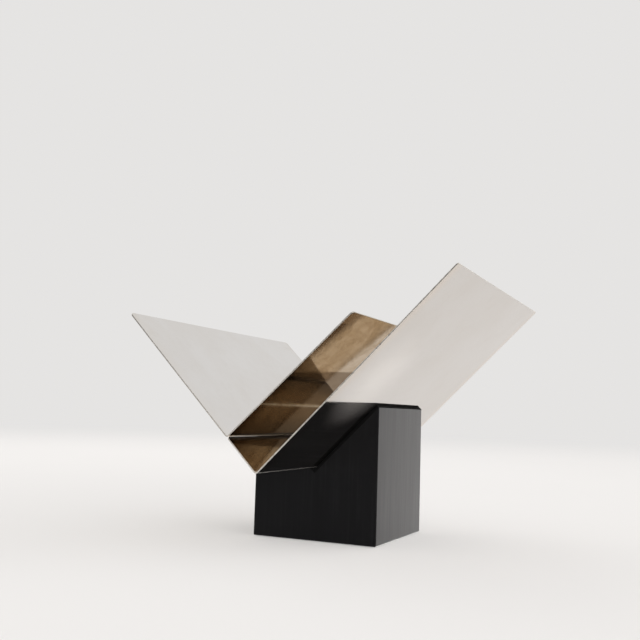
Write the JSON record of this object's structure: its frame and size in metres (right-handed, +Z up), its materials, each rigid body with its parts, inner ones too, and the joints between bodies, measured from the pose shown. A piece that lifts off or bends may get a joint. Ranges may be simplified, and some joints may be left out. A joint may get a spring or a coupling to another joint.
{
  "type": "magnetic desk sculpture",
  "caption": "Magnetic desk sculpture: thin polished steel sheets, each folded to a V, held at a slant in the V notch of a black magnet block and free to be slid about.",
  "frame": {"origin": "centre of the block's base, on the desk", "axes": "+Z up, +X towards the long wing, -Y the front"},
  "size_m": [0.1543, 0.1572, 0.1199],
  "materials": {
    "black_lacquer": "satin black lacquer over close-grained hardwood",
    "black_rubber": "matt",
    "nickel_plate": "nickel plate",
    "turned_steel": "turned",
    "zinc_plate": "bright zinc plate",
    "polished_steel": "hand polished, with fine curved polishing marks and a light warm tarnish"
  },
  "bodies": {
    "magnet_block": {"block": "black_lacquer", "right_facing": "black_rubber", "left_facing": "black_rubber", "right_magnets": "nickel_plate", "left_magnets": "nickel_plate", "ballast_slug": "turned_steel", "ballast_screw": "zinc_plate", "base_pad": "black_rubber"},
    "lower_sheet": {"lower_sheet": "polished_steel"},
    "upper_sheet": {"upper_sheet": "polished_steel"}
  },
  "joints": [
    {"name": "lower_sheet_slide", "type": "slide", "parent": "magnet_block", "child": "lower_sheet", "axis": [0, 1, 0], "range_m": [-0.035, 0.055]},
    {"name": "upper_sheet_lift", "type": "slide", "parent": "magnet_block", "child": "upper_sheet", "axis": [-0.7071, 0, 0.7071], "range_m": [0, 0.014]}
  ]
}
